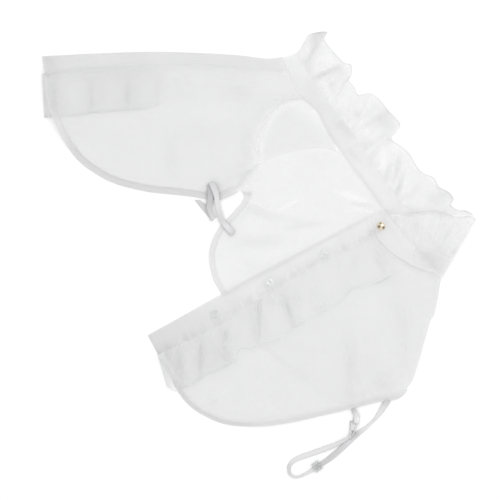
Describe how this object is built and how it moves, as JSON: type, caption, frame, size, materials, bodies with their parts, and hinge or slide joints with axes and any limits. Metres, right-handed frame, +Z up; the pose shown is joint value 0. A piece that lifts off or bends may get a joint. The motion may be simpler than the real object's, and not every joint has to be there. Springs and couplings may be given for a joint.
{
  "type": "detachable collar",
  "caption": "Sheer organza detachable collar laid open flat: fronts with ruffled plackets, back panel, ruffled neckband, ball button, clear snaps and elastic side straps.",
  "frame": {"origin": "on the surface it lies on, below the middle of the whole laid-out collar's box", "axes": "+Z up off the surface; +X and +Y run right and up in the view from straight above, with the neck ruffle on the right and the open end of the right front at the upper left"},
  "size_m": [0.4782, 0.4924, 0.0168],
  "materials": {
    "organza": "sheer white organza",
    "binding": "white bias binding, folded double",
    "elastic": "white woven elastic",
    "clear_plastic": "clear, polished",
    "gold": "polished gold tone"
  },
  "bodies": {
    "root": {"back_panel": "organza", "left_front_panel": "organza", "right_front_panel": "organza", "back_hem_binding": "binding", "left_hem_binding": "binding", "right_hem_binding": "binding", "right_placket": "organza", "left_placket": "organza", "left_placket_ruffle": "organza", "right_placket_ruffle": "organza", "neckband": "organza", "neck_ruffle": "organza", "ball_button": "gold", "snap_1": "clear_plastic", "snap_2": "clear_plastic", "snap_3": "clear_plastic", "left_strap": "elastic", "left_strap_tab": "elastic", "right_strap": "elastic", "strap_slider": "clear_plastic", "strap_hook": "clear_plastic"}
  },
  "joints": []
}
